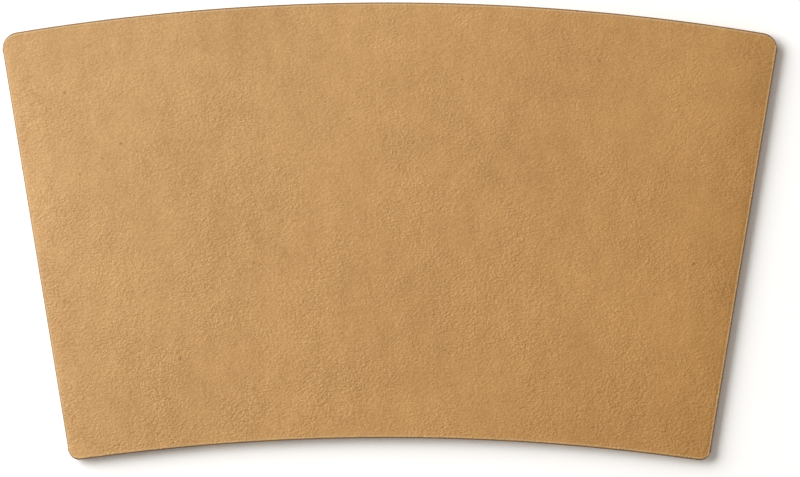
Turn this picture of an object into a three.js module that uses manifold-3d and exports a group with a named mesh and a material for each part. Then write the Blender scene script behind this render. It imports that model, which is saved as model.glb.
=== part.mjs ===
// Coffee cup sleeve, folded flat: one glued band of kraft board, lying on its back panel.
// Millimetres, +Z up from the back panel to the front panel, +X across, +Y toward the wide edge.
import * as THREE from "three";
import * as BufferGeometryUtils from "three/addons/utils/BufferGeometryUtils.js";
import Module from "manifold-3d";

// Plan of the folded sleeve, measured between the sharp corners before they are rounded
const wideEdgeWidth = 130.9;
const narrowEdgeWidth = 107.3;
const foldLength = 72.5;
const wideEdgeRise = 5.55;
const narrowEdgeRise = 3.95;
const wideCornerRadius = 2.7;
const narrowCornerRadius = 1.9;

// Board, and its creased folds: two tight bends that hold the panels a little apart
const boardThickness = 0.6;
const foldGap = 0.8;
const foldOuterRadius = 0.35;
const foldInnerRadius = 0.12;
const creaseBead = 0.15;
const panelSettleWidth = 14;
const clearanceOverSeam = 0.7;

// Glued lap seam on the back panel, measured from the left fold
const seamFromFold = 22;
const seamOverlap = 12;

// Fineness of the facets
const bendSteps = 5;
const wallSteps = 6;
const panelSteps = 9;
const lapSteps = 8;
const edgeSteps = 44;
const cornerSteps = 7;

// How far the cutting solids reach past the board
const overrun = 3;

// Heights of the folded section
const foldHeight = 2 * boardThickness + foldGap;
const panelTop = 3 * boardThickness + clearanceOverSeam;
const panelSlopeAtFold = Math.atan(3 * (panelTop - foldHeight) / panelSettleWidth);
const bendShare = 1 - Math.sin(panelSlopeAtFold);
const panelStart = foldOuterRadius * bendShare;
const panelStartHeight = foldHeight - foldOuterRadius * (1 - Math.cos(panelSlopeAtFold));
const panelEnd = panelStart + panelSettleWidth;
const innerPanelStart = boardThickness + foldInnerRadius * bendShare;

// Places along the length, with the wide edge's sharp corners at y = 0
const halfTaper = (wideEdgeWidth - narrowEdgeWidth) / 2;
const narrowCornerY = -Math.sqrt(foldLength ** 2 - halfTaper ** 2);
const taper = halfTaper / -narrowCornerY;
const foldLean = Math.atan(taper);
const sectionStartY = wideEdgeRise + overrun;
const sectionEndY = narrowCornerY - overrun;
const sectionHalfWidth = wideEdgeWidth / 2 + taper * sectionStartY;

// A point of the section: distance in from the fold, and height
function fromFold(side, inward, height) {
  return new THREE.Vector2(side * (sectionHalfWidth - inward), height);
}

// Height of the front panel's outer skin, which climbs out of the fold and levels off on a cubic
function panelHeight(inward) {
  const share = (inward - panelStart) / panelSettleWidth;
  return panelTop - (panelTop - panelStartHeight) * (1 - share) ** 3;
}

// A skin of the front panel, from its start at the fold; depth 0 is the outer skin
function frontPanel(side, start, depth) {
  const points = [];
  for (let step = 0; step <= panelSteps; step += 1) {
    const inward = start + (panelEnd - start) * step / panelSteps;
    points.push(fromFold(side, inward, panelHeight(inward) - depth));
  }
  return points;
}

// One bend of a fold about its centre, up to but not with its last point
function bend(side, radius, inward, height, from, to) {
  const points = [];
  for (let step = 0; step < bendSteps; step += 1) {
    const angle = from + (to - from) * step / bendSteps;
    points.push(fromFold(side, inward - radius * Math.sin(angle), height - radius * Math.cos(angle)));
  }
  return points;
}

// A skin of the fold, from the back panel up to the front panel: two bends with a short wall between
// them, which the crease swells by a bead on the inner skin
function foldWall(side, radius, face, ceiling, bead) {
  const low = face + radius;
  const high = ceiling - radius;
  const wall = [];
  for (let step = 0; step < wallSteps; step += 1) {
    const share = step / wallSteps;
    const swell = bead * Math.sin(Math.PI * share) ** 2;
    wall.push(fromFold(side, face + swell, low + (high - low) * share));
  }
  return [
    ...bend(side, radius, low, low, 0, Math.PI / 2),
    ...wall,
    ...bend(side, radius, low, high, Math.PI / 2, Math.PI - panelSlopeAtFold),
  ];
}

// Outer skin of a fold
function outerFold(side) {
  return foldWall(side, foldOuterRadius, 0, foldHeight, 0);
}

// Inner skin of a fold, which meets the underside of the front panel
function innerFold(side) {
  const panelUnderside = panelHeight(innerPanelStart) - boardThickness;
  const ceiling = panelUnderside + foldInnerRadius * (1 - Math.cos(panelSlopeAtFold));
  return foldWall(side, foldInnerRadius, boardThickness, ceiling, creaseBead);
}

// The lapped flap eases up from the left fold onto the flap that lies under it
function lapEase(start, height) {
  const points = [];
  for (let step = 1; step < lapSteps; step += 1) {
    const share = step / lapSteps;
    const climb = boardThickness * share * share * (3 - 2 * share);
    points.push(fromFold(-1, start + (seamFromFold - start) * share, height + climb));
  }
  return points.reverse();
}

// Outer skin of the band, with the step where the outer flap ends
function outerSkin() {
  return [
    ...outerFold(-1),
    ...frontPanel(-1, panelStart, 0),
    ...frontPanel(1, panelStart, 0).reverse(),
    ...outerFold(1).reverse(),
    fromFold(-1, seamFromFold, 0),
    fromFold(-1, seamFromFold, boardThickness),
    ...lapEase(foldOuterRadius, 0),
  ];
}

// Inner skin, with the step where the inner flap ends
function innerSkin() {
  const flapEnd = seamFromFold + seamOverlap;
  return [
    ...innerFold(-1),
    ...frontPanel(-1, innerPanelStart, boardThickness),
    ...frontPanel(1, innerPanelStart, boardThickness).reverse(),
    ...innerFold(1).reverse(),
    fromFold(-1, flapEnd, boardThickness),
    fromFold(-1, flapEnd, 2 * boardThickness),
    fromFold(-1, seamFromFold, 2 * boardThickness),
    ...lapEase(boardThickness + foldInnerRadius, boardThickness),
  ];
}

// The band's section run along the sleeve, drawn in toward the narrow edge
function taperedBand() {
  const section = new THREE.Shape(outerSkin());
  section.holes.push(new THREE.Path(innerSkin().reverse()));
  const depth = sectionStartY - sectionEndY;
  const geometry = new THREE.ExtrudeGeometry(section, { depth, bevelEnabled: false });
  const position = geometry.attributes.position;
  for (let index = 0; index < position.count; index += 1) {
    const x = position.getX(index);
    position.setX(index, x - Math.sign(x) * taper * position.getZ(index));
  }
  geometry.rotateX(Math.PI / 2);
  geometry.translate(0, sectionStartY, 0);
  return geometry;
}

// Radius of an edge's arc from its half width and rise
function arcRadius(halfWidth, rise) {
  return (halfWidth ** 2 + rise ** 2) / (2 * rise);
}

// Centre of a corner's round, tangent to the right fold and to an edge's arc
function cornerCentre(radius, arcCentreY, reach, nearY) {
  const foldX = wideEdgeWidth / 2 - radius / Math.cos(foldLean);
  const a = 1 + taper ** 2;
  const b = taper * foldX - arcCentreY;
  const c = foldX ** 2 + arcCentreY ** 2 - reach ** 2;
  const root = Math.sqrt(b ** 2 - a * c);
  const roots = [(-b + root) / a, (-b - root) / a];
  const y = Math.abs(roots[0] - nearY) < Math.abs(roots[1] - nearY) ? roots[0] : roots[1];
  return new THREE.Vector2(foldX + taper * y, y);
}

// Points along an arc about a centre
function arcPoints(centre, radius, from, to, steps) {
  return new THREE.EllipseCurve(centre.x, centre.y, radius, radius, from, to, to < from).getPoints(steps);
}

// Right half of the die-cut outline, from the middle of the narrow edge to that of the wide edge
function rightHalfOutline() {
  const wideRadius = arcRadius(wideEdgeWidth / 2, wideEdgeRise);
  const narrowRadius = arcRadius(narrowEdgeWidth / 2, narrowEdgeRise);
  const wideCentre = new THREE.Vector2(0, wideEdgeRise - wideRadius);
  const narrowCentre = new THREE.Vector2(0, narrowCornerY + narrowEdgeRise - narrowRadius);
  const wideReach = wideRadius - wideCornerRadius;
  const narrowReach = narrowRadius + narrowCornerRadius;
  const wideCorner = cornerCentre(wideCornerRadius, wideCentre.y, wideReach, 0);
  const narrowCorner = cornerCentre(narrowCornerRadius, narrowCentre.y, narrowReach, narrowCornerY);
  const wideAngle = wideCorner.clone().sub(wideCentre).angle();
  const narrowAngle = narrowCorner.clone().sub(narrowCentre).angle();
  const narrowStart = narrowAngle - Math.PI;
  const narrowRound = arcPoints(narrowCorner, narrowCornerRadius, narrowStart, -foldLean, cornerSteps);
  const wideRound = arcPoints(wideCorner, wideCornerRadius, -foldLean, wideAngle, cornerSteps);
  const outside = new THREE.Vector2(overrun, 0);
  return [
    ...arcPoints(narrowCentre, narrowRadius, Math.PI / 2, narrowAngle, edgeSteps / 2).slice(0, -1),
    ...narrowRound,
    narrowRound.at(-1).clone().add(outside),
    wideRound[0].clone().add(outside),
    ...wideRound,
    ...arcPoints(wideCentre, wideRadius, wideAngle, Math.PI / 2, edgeSteps / 2).slice(1),
  ];
}

// Upright solid of the die-cut outline
function outlineSolid() {
  const right = rightHalfOutline();
  const left = right.slice(1, -1).reverse().map((point) => new THREE.Vector2(-point.x, point.y));
  const outline = new THREE.Shape([...right, ...left]);
  const depth = panelTop + 2 * overrun;
  const geometry = new THREE.ExtrudeGeometry(outline, { depth, bevelEnabled: false });
  geometry.translate(0, 0, -overrun);
  return geometry;
}

const wasm = await Module();
wasm.setup();

// A closed geometry as a solid that can be cut
function toSolid(geometry) {
  geometry.deleteAttribute("normal");
  geometry.deleteAttribute("uv");
  const merged = BufferGeometryUtils.mergeVertices(geometry);
  return new wasm.Manifold(new wasm.Mesh({
    numProp: 3,
    vertProperties: new Float32Array(merged.attributes.position.array),
    triVerts: new Uint32Array(merged.index.array),
  }));
}

// A solid back as a geometry
function toGeometry(solid) {
  const mesh = solid.getMesh();
  const geometry = new THREE.BufferGeometry();
  geometry.setAttribute("position", new THREE.BufferAttribute(new Float32Array(mesh.vertProperties), 3));
  geometry.setIndex(new THREE.BufferAttribute(new Uint32Array(mesh.triVerts), 1));
  return geometry;
}

// The whole sleeve, with its origin under the middle of its box
function sleeveGeometry() {
  const geometry = toGeometry(toSolid(taperedBand()).intersect(toSolid(outlineSolid())));
  geometry.computeBoundingBox();
  const box = geometry.boundingBox;
  geometry.translate(-(box.min.x + box.max.x) / 2, -(box.min.y + box.max.y) / 2, -box.min.z);
  geometry.computeVertexNormals();
  return geometry;
}

const kraftBoard = new THREE.MeshStandardMaterial({ color: 0xc69a67, roughness: 0.8, metalness: 0 });

const sleeve = new THREE.Mesh(sleeveGeometry(), kraftBoard);
sleeve.name = "sleeve";

const model = new THREE.Group();
model.add(sleeve);

export default model;
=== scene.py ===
# Coffee cup sleeve, folded flat: how its kraft board looks, lying on a white table.
import math

import bpy
import numpy as np
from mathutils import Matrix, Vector, noise


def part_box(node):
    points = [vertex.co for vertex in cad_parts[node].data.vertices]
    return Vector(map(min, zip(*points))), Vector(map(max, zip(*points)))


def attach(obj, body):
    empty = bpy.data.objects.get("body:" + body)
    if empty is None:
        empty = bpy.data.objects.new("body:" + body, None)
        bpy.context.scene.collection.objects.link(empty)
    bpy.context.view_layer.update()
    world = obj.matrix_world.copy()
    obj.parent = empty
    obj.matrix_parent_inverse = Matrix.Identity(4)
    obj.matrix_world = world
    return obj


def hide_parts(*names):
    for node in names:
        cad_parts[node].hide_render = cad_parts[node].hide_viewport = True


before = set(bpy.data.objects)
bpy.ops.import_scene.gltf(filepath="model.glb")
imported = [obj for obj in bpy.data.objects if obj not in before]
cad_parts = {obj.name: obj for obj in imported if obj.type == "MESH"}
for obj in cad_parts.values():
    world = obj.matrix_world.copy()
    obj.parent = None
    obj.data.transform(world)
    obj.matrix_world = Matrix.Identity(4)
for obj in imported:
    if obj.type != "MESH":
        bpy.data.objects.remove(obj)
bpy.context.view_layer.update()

MM = 0.001

# Plan of the folded sleeve in millimetres, between its sharp corners
WIDE_EDGE = 130.9
NARROW_EDGE = 107.3
FOLD_LENGTH = 72.5
WIDE_RISE = 5.55
NARROW_RISE = 3.95
WIDE_CORNER = 2.7
NARROW_CORNER = 1.9

# The board and the way it folds
BOARD = 0.6
FOLD_GAP = 0.8
FOLD_OUTER = 0.35
FOLD_INNER = 0.12
CREASE_BEAD = 0.15
SETTLE = 14.0
OVER_SEAM = 0.7
SEAM_FROM_FOLD = 22.0
SEAM_OVERLAP = 12.0
GLUE_LINE = 0.02

# Spacing of the mesh
FRONT_STEP = 0.5
BACK_STEP = 1.0
ROW_STEP = 0.5
FOLD_STEPS = 6
INNER_EVERY = 4
EDGE_ROWS = 3
ROWS_BY_CUT = (0.0, 0.05, 0.12, 0.22, 0.36, 0.6)
LINES_BY_FOLD = (0.0, 0.06, 0.12, 0.18, 0.26, 0.36, 0.5, 0.7)
SHARP_ANGLE = 50.0

# Height, spacing and seed of the board's slow waves, how far they are lowered to stay within its box, and
# their share on the back panel; the front panel takes its own layer of the noise
WAVES = ((0.04, 24.0, (0, 0, 0)), (0.014, 9.0, (7, 3, 1)))
WAVES_LOWERED = 0.03
BACK_WAVES = 0.3
FRONT_LAYER = 5.0

# Height, spacing across and along, and layer of the faint streaks and pebbles that the mesh can hold
PEBBLES = ((0.006, 2.6, 5.5, 0), (0.005, 1.5, 1.5, 9))

# Depth and reach of the skin where it turns down at a cut, then height, place and width of each ridge
TURN_DOWN = (0.07, 0.12)
BURR = (0.055, 0.2, 0.12)
FOLD_RIDGE = (0.035, 0.27, 0.1)

# Slots of the sleeve's two materials
SKIN = 0
CUT_EDGE = 1

# Sizes that follow
FOLD_HEIGHT = 2 * BOARD + FOLD_GAP
TOP = 3 * BOARD + OVER_SEAM
HALF_TAPER = (WIDE_EDGE - NARROW_EDGE) / 2
NARROW_Y = -math.sqrt(FOLD_LENGTH ** 2 - HALF_TAPER ** 2)
TAPER = HALF_TAPER / -NARROW_Y
LEAN = math.atan(TAPER)
FOLD_SLOPE = math.atan(3 * (TOP - FOLD_HEIGHT) / SETTLE)
PANEL_START = FOLD_OUTER * (1 - math.sin(FOLD_SLOPE))
PANEL_LOW = FOLD_HEIGHT - FOLD_OUTER * (1 - math.cos(FOLD_SLOPE))
INNER_START = BOARD + FOLD_INNER * (1 - math.sin(FOLD_SLOPE))


# Radius of an edge's arc from its half width and rise
def arc_radius(half_width, rise):
    return (half_width ** 2 + rise ** 2) / (2 * rise)


WIDE_RADIUS = arc_radius(WIDE_EDGE / 2, WIDE_RISE)
NARROW_RADIUS = arc_radius(NARROW_EDGE / 2, NARROW_RISE)
WIDE_CENTRE = WIDE_RISE - WIDE_RADIUS
NARROW_CENTRE = NARROW_Y + NARROW_RISE - NARROW_RADIUS


# Centre of a corner's round, tangent to the fold and to an edge's arc
def corner_centre(radius, arc_centre, reach, near):
    fold_x = WIDE_EDGE / 2 - radius / math.cos(LEAN)
    a = 1 + TAPER ** 2
    b = TAPER * fold_x - arc_centre
    root = math.sqrt(b ** 2 - a * (fold_x ** 2 + arc_centre ** 2 - reach ** 2))
    y = min(((-b + root) / a, (-b - root) / a), key=lambda value: abs(value - near))
    return fold_x + TAPER * y, y


WIDE_ROUND = corner_centre(WIDE_CORNER, WIDE_CENTRE, WIDE_RADIUS - WIDE_CORNER, 0)
NARROW_ROUND = corner_centre(NARROW_CORNER, NARROW_CENTRE, NARROW_RADIUS + NARROW_CORNER, NARROW_Y)


# Where the line x = a * half width + c meets a circle on the middle line or at a corner
def meet(a, c, centre_x, centre_y, radius, upper):
    start = a * WIDE_EDGE / 2 + c - centre_x
    lean = a * TAPER
    qa = 1 + lean ** 2
    qb = lean * start - centre_y
    qc = start ** 2 + centre_y ** 2 - radius ** 2
    root = np.sqrt(np.maximum(qb ** 2 - qa * qc, 0))
    return (-qb + np.where(upper, root, -root)) / qa


# Height on the plan at which each lengthwise line is cut by the wide or the narrow edge
def cut_at(a, c, wide):
    if wide:
        radius, centre, corner, corner_radius = WIDE_RADIUS, WIDE_CENTRE, WIDE_ROUND, WIDE_CORNER
        tangent = corner[0] * radius / (radius - corner_radius)
    else:
        radius, centre, corner, corner_radius = NARROW_RADIUS, NARROW_CENTRE, NARROW_ROUND, NARROW_CORNER
        tangent = corner[0] * radius / (radius + corner_radius)
    on_arc = meet(a, c, 0, centre, radius, True)
    x = a * (WIDE_EDGE / 2 + TAPER * on_arc) + c
    side = np.where(x < 0, -1.0, 1.0)
    on_corner = meet(a, c, side * corner[0], corner[1], corner_radius, wide)
    return np.where(np.abs(x) > tangent, on_corner, on_arc)


# One lengthwise line of the blank: how far in from the fold and how high its outer and inner skins run,
# and the way its outer skin faces
def line(side, outward, outer_height, inward, inner_height, nx=0.0, nz=1.0):
    return [side, -side * outward, outer_height, -side * inward, inner_height, side * nx, nz]


# Lines spaced evenly between two others
def between(first, last, step, width):
    count = max(2, round(width / step))
    shares = np.linspace(0, 1, count + 1)[:-1]
    return [list(np.array(first) * (1 - share) + np.array(last) * share) for share in shares]


# Outer height of the front panel, which climbs out of a fold and levels off
def panel_height(inward):
    share = min((inward - PANEL_START) / SETTLE, 1)
    return TOP - (TOP - PANEL_LOW) * (1 - share) ** 3


# Lines of the front panel beside a fold, as far as where it levels off
def front_lines(side):
    last = LINES_BY_FOLD[-1]
    far = list(np.linspace(last, SETTLE, round((SETTLE - last) / FRONT_STEP))[1:])
    lines = []
    for offset in list(LINES_BY_FOLD) + far:
        share = offset / SETTLE
        slope = math.atan(3 * (TOP - PANEL_LOW) / SETTLE * (1 - share) ** 2)
        outward = PANEL_START + offset
        inward = INNER_START + (PANEL_START + SETTLE - INNER_START) * share
        lines.append(line(side, outward, panel_height(outward), inward, panel_height(inward) - BOARD,
                          math.sin(slope), math.cos(slope)))
    return lines


# One bent corner of a fold, from one angle to another
def bent_corner(side, start, end, outer_middle, inner_middle):
    lines = []
    for angle in np.linspace(start, end, FOLD_STEPS, endpoint=False):
        sine, cosine = math.sin(angle), math.cos(angle)
        outward, inward = FOLD_OUTER * (1 - sine), BOARD + FOLD_INNER * (1 - sine)
        lines.append(line(side, outward, outer_middle - FOLD_OUTER * cosine,
                          inward, inner_middle - FOLD_INNER * cosine, sine, -cosine))
    return lines


# The whole fold, from the back panel up to the front panel: two bends with a short wall between them,
# and the bead that the creasing rule raised inside it
def fold_lines(side):
    ceiling = panel_height(INNER_START) - BOARD + FOLD_INNER * (1 - math.cos(FOLD_SLOPE))
    outer_low, outer_high = FOLD_OUTER, FOLD_HEIGHT - FOLD_OUTER
    inner_low, inner_high = BOARD + FOLD_INNER, ceiling - FOLD_INNER
    lines = bent_corner(side, 0, math.pi / 2, outer_low, inner_low)
    for share in np.linspace(0, 1, FOLD_STEPS, endpoint=False):
        bead = CREASE_BEAD * math.sin(math.pi * share) ** 2
        lines.append(line(side, 0, outer_low + (outer_high - outer_low) * share,
                          BOARD + bead, inner_low + (inner_high - inner_low) * share, 1, 0))
    return lines + bent_corner(side, math.pi / 2, math.pi - FOLD_SLOPE, outer_high, inner_high)


# The lapped flap eases up from the left fold onto the outer flap and ends on it
def lap_lines():
    lines = []
    rise = BOARD + GLUE_LINE
    ease = SEAM_FROM_FOLD - FOLD_OUTER
    inner_start = BOARD + FOLD_INNER
    for share in np.linspace(0, 1, round(ease / BACK_STEP) + 1):
        slope = math.atan(rise * 6 * share * (1 - share) / ease)
        height = rise * share * share * (3 - 2 * share)
        inward = inner_start + (SEAM_FROM_FOLD - inner_start) * share
        lines.append(line(-1, FOLD_OUTER + ease * share, height, inward, height + BOARD,
                          -math.sin(slope), -math.cos(slope)))
    flap = SEAM_FROM_FOLD + SEAM_OVERLAP
    end = line(-1, flap, rise, flap, rise + BOARD, 0, -1)
    return lines + between(lines[-1], end, BACK_STEP, SEAM_OVERLAP)[1:] + [end]


# The whole blank from the outer flap's end, round both folds, to the lapped flap's end
def blank_lines():
    start = line(-1, SEAM_FROM_FOLD, 0, SEAM_FROM_FOLD, BOARD, 0, -1)
    end = line(1, FOLD_OUTER, 0, BOARD + FOLD_INNER, BOARD, 0, -1)
    back = between(start, end, BACK_STEP, WIDE_EDGE - SEAM_FROM_FOLD)
    right = front_lines(1)
    left = front_lines(-1)[::-1]
    middle = between(right[-1], left[0], FRONT_STEP, WIDE_EDGE - 2 * SETTLE)[1:]
    return np.array(back + fold_lines(1) + right + middle + left + fold_lines(-1)[::-1] + lap_lines())


# Shares of the length at which the rows lie, close together at the two cut edges
def row_shares():
    near = np.array(ROWS_BY_CUT) / FOLD_LENGTH
    count = round(FOLD_LENGTH / ROW_STEP)
    middle = np.linspace(near[-1], 1 - near[-1], count)[1:-1]
    return np.concatenate([near, middle, 1 - near[::-1]])


# Rows of the inner skin, which needs fewer: every few, and those next to the cut edges
def inner_row_numbers(count):
    numbers = set(range(0, count, INNER_EVERY))
    for near in range(EDGE_ROWS):
        numbers |= {near, count - 1 - near}
    return sorted(numbers)


# Slow waves of the board, in millimetres
def board_waves(place):
    heights = [height * noise.noise(place / spacing + Vector(seed)) for height, spacing, seed in WAVES]
    return sum(heights) - WAVES_LOWERED


# Faint streaks and pebbles; the finer grain is in the material
def pebbling(x, y, z):
    return sum(height * noise.noise(Vector((x / across, y / along, z + layer)))
               for height, across, along, layer in PEBBLES)


# Height of a rounded ridge at a distance from its edge
def ridge_at(distance, ridge):
    height, place, width = ridge
    return height * np.exp(-((distance - place) / width) ** 2)


# How far the skin turns down at the very edge, and the burr that the cutting rule raised beside it
def edge_turn(distance):
    depth, reach = TURN_DOWN
    return ridge_at(distance, BURR) - depth * np.clip(1 - distance / reach, 0, 1) ** 2


# Vertices of one skin, with their distances from the nearest cut edge and the nearest fold
def skin_points(lines, shares, outer, shift):
    a, outer_c, outer_z, inner_c, inner_z, nx, nz = lines.T
    c, z = (outer_c, outer_z) if outer else (inner_c, inner_z)
    front = outer_z > FOLD_HEIGHT / 2
    facing_up = front & (nz > 0.5)
    low = cut_at(a, c, False)
    high = cut_at(a, c, True)
    points = []
    cuts = []
    creases = []
    for share in shares:
        y = low + (high - low) * share
        x = a * (WIDE_EDGE / 2 + TAPER * y) + c
        edge = np.minimum(y - low, high - y)
        inward = WIDE_EDGE / 2 + TAPER * y - np.abs(x)
        lift = edge_turn(edge) + np.where(facing_up, ridge_at(inward, FOLD_RIDGE), 0)
        for index in range(len(a)):
            layer = FRONT_LAYER if front[index] else 0.0
            wave = board_waves(Vector((x[index], y[index], layer))) * abs(nz[index])
            height = z[index] + wave * (1 if front[index] else BACK_WAVES)
            out = lift[index] + pebbling(x[index], y[index], layer) if outer else 0.0
            points.append(((x[index] + out * nx[index]) * MM, (y[index] + shift) * MM,
                           max(height + out * nz[index], 0.0) * MM))
        cuts += list(edge)
        creases += list(inward)
    return points, cuts, creases


# Faces of the closed sheet: first its two skins, then the two cut edges and the ends of the two flaps
def sheet_faces(rows, inner_rows, across):
    def outer(row, column):
        return row * across + column

    def inner(row, column):
        return (rows + row) * across + column

    last, inner_last = rows - 1, len(inner_rows) - 1
    skins = []
    edges = []
    for row in range(last):
        for column in range(across - 1):
            skins.append((outer(row, column), outer(row + 1, column),
                          outer(row + 1, column + 1), outer(row, column + 1)))
    for row in range(inner_last):
        for column in range(across - 1):
            skins.append((inner(row, column), inner(row, column + 1),
                          inner(row + 1, column + 1), inner(row + 1, column)))
    for column in range(across - 1):
        edges.append((outer(0, column), outer(0, column + 1), inner(0, column + 1), inner(0, column)))
        edges.append((outer(last, column), inner(inner_last, column),
                      inner(inner_last, column + 1), outer(last, column + 1)))
    for row in range(inner_last):
        start, end = inner_rows[row], inner_rows[row + 1]
        first = [outer(step, 0) for step in range(end, start - 1, -1)]
        edges.append(tuple(first + [inner(row, 0), inner(row + 1, 0)]))
        far = [outer(step, across - 1) for step in range(start, end + 1)]
        edges.append(tuple(far + [inner(row + 1, across - 1), inner(row, across - 1)]))
    return skins, edges


# The folded band as one closed sheet
def sleeve_mesh():
    lines = blank_lines()
    shares = row_shares()
    inner_rows = inner_row_numbers(len(shares))
    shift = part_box("sleeve")[1][1] / MM - WIDE_RISE
    outer, outer_cuts, outer_creases = skin_points(lines, shares, True, shift)
    inner, inner_cuts, inner_creases = skin_points(lines, shares[inner_rows], False, shift)
    skins, edges = sheet_faces(len(shares), inner_rows, len(lines))
    mesh = bpy.data.meshes.new("kraft_sleeve")
    mesh.from_pydata(outer + inner, [], skins + edges)
    mesh.validate()
    for name, values in (("from_cut", outer_cuts + inner_cuts), ("from_fold", outer_creases + inner_creases)):
        measure = mesh.attributes.new(name, "FLOAT", "POINT")
        measure.data.foreach_set("value", np.array(values, dtype=np.float32))
    mesh.polygons.foreach_set("material_index", [SKIN] * len(skins) + [CUT_EDGE] * len(edges))
    mesh.polygons.foreach_set("use_smooth", [True] * (len(skins) + len(edges)))
    mesh.set_sharp_from_angle(angle=math.radians(SHARP_ANGLE))
    mesh.update()
    return mesh


# sRGB hex to the linear colour that Blender wants
def colour(code):
    parts = [int(code[index:index + 2], 16) / 255 for index in (1, 3, 5)]
    linear = [part / 12.92 if part <= 0.04045 else ((part + 0.055) / 1.055) ** 2.4 for part in parts]
    return (*linear, 1.0)


# Adds one node with its settings, and its inputs as values or links
def add(tree, kind, settings=None, inputs=None):
    made = tree.nodes.new(kind)
    for name, value in (settings or {}).items():
        setattr(made, name, value)
    for socket, value in (inputs or {}).items():
        if isinstance(value, bpy.types.NodeSocket):
            tree.links.new(value, made.inputs[socket])
        else:
            made.inputs[socket].default_value = value
    return made


# A material with an empty tree of nodes
def new_material(name):
    material = bpy.data.materials.new(name)
    material.use_nodes = True
    material.node_tree.nodes.clear()
    return material, material.node_tree


# One step of arithmetic
def maths(tree, operation, first, second=0.0, third=0.0):
    return add(tree, "ShaderNodeMath", {"operation": operation}, {0: first, 1: second, 2: third}).outputs[0]


# Takes a value from one range to another and holds it between the ends
def span(tree, value, low, high, to_low=0.0, to_high=1.0):
    return add(tree, "ShaderNodeMapRange", {"clamp": True},
               {"Value": value, "From Min": low, "From Max": high, "To Min": to_low,
                "To Max": to_high}).outputs["Result"]


# Mixes two colours, where a share of 1 is all of the second
def blend(tree, share, under, over):
    return add(tree, "ShaderNodeMix", {"data_type": "RGBA"}, {"Factor": share, 6: under, 7: over}).outputs[2]


# Place on the sleeve, in metres
def board_place(tree):
    return add(tree, "ShaderNodeTexCoord").outputs["Object"]


# Noise whose grains have the given millimetres across, along and through the board
def grain(tree, size, seed, detail=1, distortion=0.0):
    per_metre = tuple(1 / (length * MM) for length in size)
    place = {"Vector": board_place(tree), "Scale": per_metre, "Location": (seed, seed * 2, 0)}
    scaled = add(tree, "ShaderNodeMapping", {"vector_type": "POINT"}, place).outputs["Vector"]
    return add(tree, "ShaderNodeTexNoise", {},
               {"Vector": scaled, "Scale": 1.0, "Detail": detail, "Roughness": 0.55,
                "Distortion": distortion}).outputs["Fac"]


# Relief of the given depth in millimetres, on top of another where there is one
def relief(tree, height, depth, under=None):
    inputs = {"Strength": 1.0, "Distance": depth * MM, "Height": height}
    if under is not None:
        inputs["Normal"] = under
    return add(tree, "ShaderNodeBump", {}, inputs).outputs["Normal"]


# Distance in millimetres from the nearest cut edge or fold, carried by the mesh
def measured(tree, name):
    return add(tree, "ShaderNodeAttribute", {"attribute_name": name}).outputs["Fac"]


# Weight, grain size in millimetres and seed of the pulp's clouds, streaks, flocks and fibres
PULP = (
    (0.55, (20, 26, 20), 3),
    (0.6, (3.0, 5.5, 3.0), 5),
    (0.45, (0.9, 0.9, 0.9), 8),
    (1.2, (0.38, 0.28, 0.3), 11),
)

# Darkest and palest pulp at the left and at the right, and the drift between them across the sleeve and down
# it: painted light falloff, paler at the lit upper left and darker and more orange in shade at the lower
# right
LIT_LEFT_PULP = ("#AB814D", "#CA9F67")
SHADED_RIGHT_PULP = ("#9F7138", "#BB8A4C")
PAINTED_FALLOFF_LEAN = -0.6
PAINTED_FALLOFF_SPAN = (-62 * MM, 68 * MM)

# Dark shives: millimetres between them, least chance and largest radius in a cell, and strength
SHIVE = "#7E5A34"
SHIVE_SPACING = 3.2
SHIVE_CHANCE = 0.45
SHIVE_RADIUS = 0.10
SHIVE_SHARE = 0.5

# Lines along the edges: where they fade in and out, in millimetres from the edge, and their strength
RUBBED = "#D8C6A4"
RUBBED_LINE = ((0.2, 0.28), (0.38, 0.52), 0.28)
# The dark line is painted shade: it stands in for the shaded cut faces and fold noses and the contact shadow
# beside them
EDGE_SHADE_COLOUR = "#5A3D20"
FOLD_SHADE_LINE = ((0.0, 0.04), (0.1, 0.22), 0.7)
CUT_SHADE_LINE = (0.14, 0.26, 0.75, 0.0)

# Width and depth in millimetres of the skin's roll toward the cut edges and toward the folds
CUT_ROLL = (0.4, 0.12)
FOLD_ROLL = (1.0, 0.07)

# Pebbled skin: grain size, seed, detail and distortion, then how the patches and the length weigh it
PATCH_GRAIN = ((9, 12, 9), 31, 2)
RIDGE_GRAIN = ((0.95, 0.8, 0.85), 21, 1, 0.6)
PEBBLE_GRAIN = ((0.5, 0.31, 0.4), 27)
PATCH_STRENGTH = (0.35, 0.62, 0.55, 1.25)
LENGTH_STRENGTH = (30 * MM, -30 * MM, 0.8, 1.35)
RIDGE_WIDTH = 0.14
RIDGE_SHARE = 0.3
PEBBLE_DEPTH = 0.09

# Layers of the cut edge: grain, span of the noise, darkest and palest colour, and depth
LAYER_GRAIN = ((0.7, 0.7, 0.07), 43, 2)
LAYER_SPAN = (0.35, 0.65)
LAYERS = ("#B48C57", "#D6B685")
LAYER_DEPTH = 0.06


# Tone of the pulp, from 0 at the darkest to 1 at the palest
def pulp_tone(tree):
    tone = 0.5 - 0.5 * sum(weight for weight, size, seed in PULP)
    for weight, size, seed in PULP:
        tone = maths(tree, "MULTIPLY_ADD", grain(tree, size, seed), weight, tone)
    return tone


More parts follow.
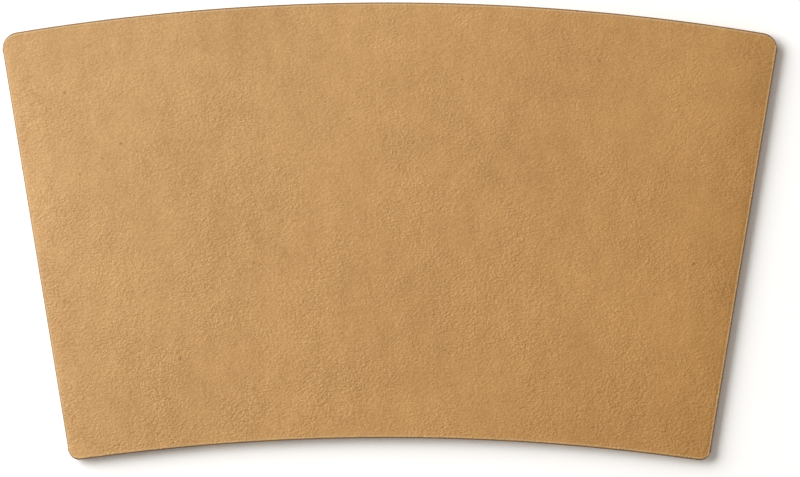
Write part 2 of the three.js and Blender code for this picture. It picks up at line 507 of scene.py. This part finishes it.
# Sparse dark shives, one at most in each cell
def shives(tree):
    scaled = add(tree, "ShaderNodeVectorMath", {"operation": "SCALE"},
                 {0: board_place(tree), "Scale": 1 / (SHIVE_SPACING * MM)}).outputs[0]
    cell = add(tree, "ShaderNodeTexVoronoi", {"voronoi_dimensions": "3D"}, {"Vector": scaled, "Scale": 1.0})
    chance = add(tree, "ShaderNodeSeparateColor", {}, {"Color": cell.outputs["Color"]}).outputs[0]
    radius = span(tree, chance, SHIVE_CHANCE, 1.0, 0.0, SHIVE_RADIUS)
    return maths(tree, "LESS_THAN", cell.outputs["Distance"], radius)


# A line along an edge, which fades in and out with the distance from it
def edge_line(tree, distance, fade_in, fade_out, share):
    inside = span(tree, distance, *fade_out, share, 0.0)
    return maths(tree, "MULTIPLY", span(tree, distance, *fade_in), inside)


# Colour of the board: painted light falloff, paler at the upper left and darker and more orange at the lower
# right, rubbed pale along its edges, and painted shade, a dark line along the cut edges and folds
def board_colour(tree, across, along):
    tone = pulp_tone(tree)
    left = blend(tree, tone, *map(colour, LIT_LEFT_PULP))
    right = blend(tree, tone, *map(colour, SHADED_RIGHT_PULP))
    # Painted light falloff: the pulp drifts from the lit colours at the upper left to the shaded ones at the
    # lower right
    painted_falloff = maths(tree, "MULTIPLY_ADD", along, PAINTED_FALLOFF_LEAN, across)
    body = blend(tree, span(tree, painted_falloff, *PAINTED_FALLOFF_SPAN), left, right)
    body = blend(tree, maths(tree, "MULTIPLY", shives(tree), SHIVE_SHARE), body, colour(SHIVE))
    from_cut, from_fold = measured(tree, "from_cut"), measured(tree, "from_fold")
    nearest = maths(tree, "MINIMUM", from_cut, from_fold)
    body = blend(tree, edge_line(tree, nearest, *RUBBED_LINE), body, colour(RUBBED))
    # Painted shade: a dark line along the folds and the cut edges, where their faces turn away from the light
    fold_shade = edge_line(tree, from_fold, *FOLD_SHADE_LINE)
    edge_shade = maths(tree, "MAXIMUM", span(tree, from_cut, *CUT_SHADE_LINE), fold_shade)
    return blend(tree, edge_shade, body, colour(EDGE_SHADE_COLOUR))


# Roll of the skin toward the cut edges and, more gently, toward the folds
def edge_roll(tree):
    cut_width, cut_depth = CUT_ROLL
    fold_width, fold_depth = FOLD_ROLL
    roll = span(tree, measured(tree, "from_cut"), 0.0, cut_width, 0.0, cut_depth)
    beside_fold = span(tree, measured(tree, "from_fold"), 0.0, fold_width)
    return maths(tree, "MULTIPLY_ADD", beside_fold, fold_depth, roll)


# Pebbles of the skin, in patches that grow stronger toward the narrow edge
def pebbles(tree, along):
    patch = span(tree, grain(tree, *PATCH_GRAIN), *PATCH_STRENGTH)
    patch = maths(tree, "MULTIPLY", patch, span(tree, along, *LENGTH_STRENGTH))
    ridge = maths(tree, "ABSOLUTE", maths(tree, "SUBTRACT", grain(tree, *RIDGE_GRAIN), 0.5))
    height = maths(tree, "MULTIPLY", span(tree, ridge, 0.0, RIDGE_WIDTH), RIDGE_SHARE)
    height = maths(tree, "ADD", grain(tree, *PEBBLE_GRAIN), height)
    return maths(tree, "MULTIPLY", height, patch)


# Unbleached kraft paperboard: matt, cloudy and finely fibrous
def kraft_paperboard():
    material, tree = new_material("kraft_paperboard")
    place = add(tree, "ShaderNodeSeparateXYZ", {}, {"Vector": board_place(tree)}).outputs
    across, along = place[0], place[1]
    rolled = relief(tree, edge_roll(tree), 1.0)
    skin = relief(tree, pebbles(tree, along), PEBBLE_DEPTH, rolled)
    surface = add(tree, "ShaderNodeBsdfPrincipled", {},
                  {"Base Color": board_colour(tree, across, along), "Roughness": 0.55, "IOR": 1.5,
                   "Normal": skin})
    add(tree, "ShaderNodeOutputMaterial", {}, {"Surface": surface.outputs["BSDF"]})
    return material


# The board's cut edge: paler, and layered through its thickness
def kraft_cut_edge():
    material, tree = new_material("kraft_cut_edge")
    layers = grain(tree, *LAYER_GRAIN)
    body = blend(tree, span(tree, layers, *LAYER_SPAN), *map(colour, LAYERS))
    surface = add(tree, "ShaderNodeBsdfPrincipled", {},
                  {"Base Color": body, "Roughness": 0.9, "Normal": relief(tree, layers, LAYER_DEPTH)})
    add(tree, "ShaderNodeOutputMaterial", {}, {"Surface": surface.outputs["BSDF"]})
    return material


# The dressed sleeve, in place of the plain one
def build_sleeve():
    sleeve = bpy.data.objects.new("kraft_sleeve", sleeve_mesh())
    bpy.context.scene.collection.objects.link(sleeve)
    sleeve.data.materials.append(kraft_paperboard())
    sleeve.data.materials.append(kraft_cut_edge())
    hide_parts("sleeve")
    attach(sleeve, "root")


# Levels of the light on the table: a white surface facing up renders at their sum
FILL_LEVEL = 0.38
WINDOW_LEVEL = 0.52
BOX_LEVEL = 0.26
FILL_COLOUR = (1.0, 0.95, 0.88, 1)

# Where the lights stand and how wide they are, in degrees and metres
WINDOW_TURN = 153.0
WINDOW_ELEVATION = 34.0
WINDOW_SPREAD = 54.0
BOX_TURN = 157.0
BOX_ELEVATION = 50.0
BOX_DISTANCE = 0.45
BOX_SIZE = 0.26

# Half the table's side in metres, and its colour
TABLE_HALF = 4.0
TABLE_COLOUR = (0.97, 0.97, 0.97, 1)


# White table
def build_table():
    mesh = bpy.data.meshes.new("table")
    corners = [(x * TABLE_HALF, y * TABLE_HALF, 0) for x, y in ((-1, -1), (1, -1), (1, 1), (-1, 1))]
    mesh.from_pydata(corners, [], [(0, 1, 2, 3)])
    table = bpy.data.objects.new("table", mesh)
    bpy.context.scene.collection.objects.link(table)
    material, tree = new_material("white_table")
    matt = add(tree, "ShaderNodeBsdfDiffuse", {}, {"Color": TABLE_COLOUR}).outputs[0]
    add(tree, "ShaderNodeOutputMaterial", {}, {"Surface": matt})
    mesh.materials.append(material)


# Way to a light from the sleeve, turned from +X and raised from the table
def light_direction(turn, elevation):
    turn, rise = math.radians(turn), math.radians(elevation)
    return Vector((math.cos(turn) * math.cos(rise), math.sin(turn) * math.cos(rise), math.sin(rise)))


# A light that shines at the sleeve
def add_light(name, kind, toward, distance, energy):
    data = bpy.data.lights.new(name, kind)
    data.energy = energy
    light = bpy.data.objects.new(name, data)
    light.location = toward * distance
    light.rotation_euler = toward.to_track_quat("Z", "Y").to_euler()
    bpy.context.scene.collection.objects.link(light)
    return data


# A window low at the upper left, and a soft box above it that leaves the left end brighter
def build_lights():
    toward = light_direction(WINDOW_TURN, WINDOW_ELEVATION)
    window = add_light("window_light", "SUN", toward, 1.0, WINDOW_LEVEL * math.pi / toward.z)
    window.angle = math.radians(WINDOW_SPREAD)
    toward = light_direction(BOX_TURN, BOX_ELEVATION)
    energy = BOX_LEVEL * (math.pi * BOX_DISTANCE) ** 2 / toward.z
    box = add_light("soft_box", "AREA", toward, BOX_DISTANCE, energy)
    box.shape = "DISK"
    box.size = BOX_SIZE


# Warm light bounced about the room; the background itself is white
def build_world():
    world = bpy.context.scene.world or bpy.data.worlds.new("world")
    bpy.context.scene.world = world
    world.use_nodes = True
    tree = world.node_tree
    tree.nodes.clear()
    seen = add(tree, "ShaderNodeLightPath").outputs["Is Camera Ray"]
    fill = add(tree, "ShaderNodeBackground", {}, {"Color": FILL_COLOUR, "Strength": FILL_LEVEL})
    white = add(tree, "ShaderNodeBackground", {}, {"Color": (1, 1, 1, 1), "Strength": 1.0})
    inputs = {0: seen, 1: fill.outputs[0], 2: white.outputs[0]}
    both = add(tree, "ShaderNodeMixShader", {}, inputs).outputs[0]
    add(tree, "ShaderNodeOutputWorld", {}, {"Surface": both})


# Picture's width in pixels and a pixel in millimetres, then the camera's height in metres, its place off
# the sleeve's middle in millimetres, and its roll in degrees
PHOTO_WIDTH = 800
PIXEL = 0.16783
CAMERA_HEIGHT = 0.9
VIEW_OFFSET = (1.72, -1.22)
CAMERA_ROLL = 0.05
SENSOR_WIDTH = 36


# Long lens straight above
def build_camera():
    data = bpy.data.cameras.new("camera")
    data.sensor_width = SENSOR_WIDTH
    data.lens = data.sensor_width * (CAMERA_HEIGHT - TOP * MM) / (PHOTO_WIDTH * PIXEL * MM)
    camera = bpy.data.objects.new("camera", data)
    camera.location = (VIEW_OFFSET[0] * MM, VIEW_OFFSET[1] * MM, CAMERA_HEIGHT)
    camera.rotation_euler = (0, 0, math.radians(CAMERA_ROLL))
    bpy.context.scene.collection.objects.link(camera)
    bpy.context.scene.camera = camera


build_camera()
build_sleeve()
build_table()
build_lights()
build_world()
bpy.context.scene.view_settings.view_transform = "Standard"
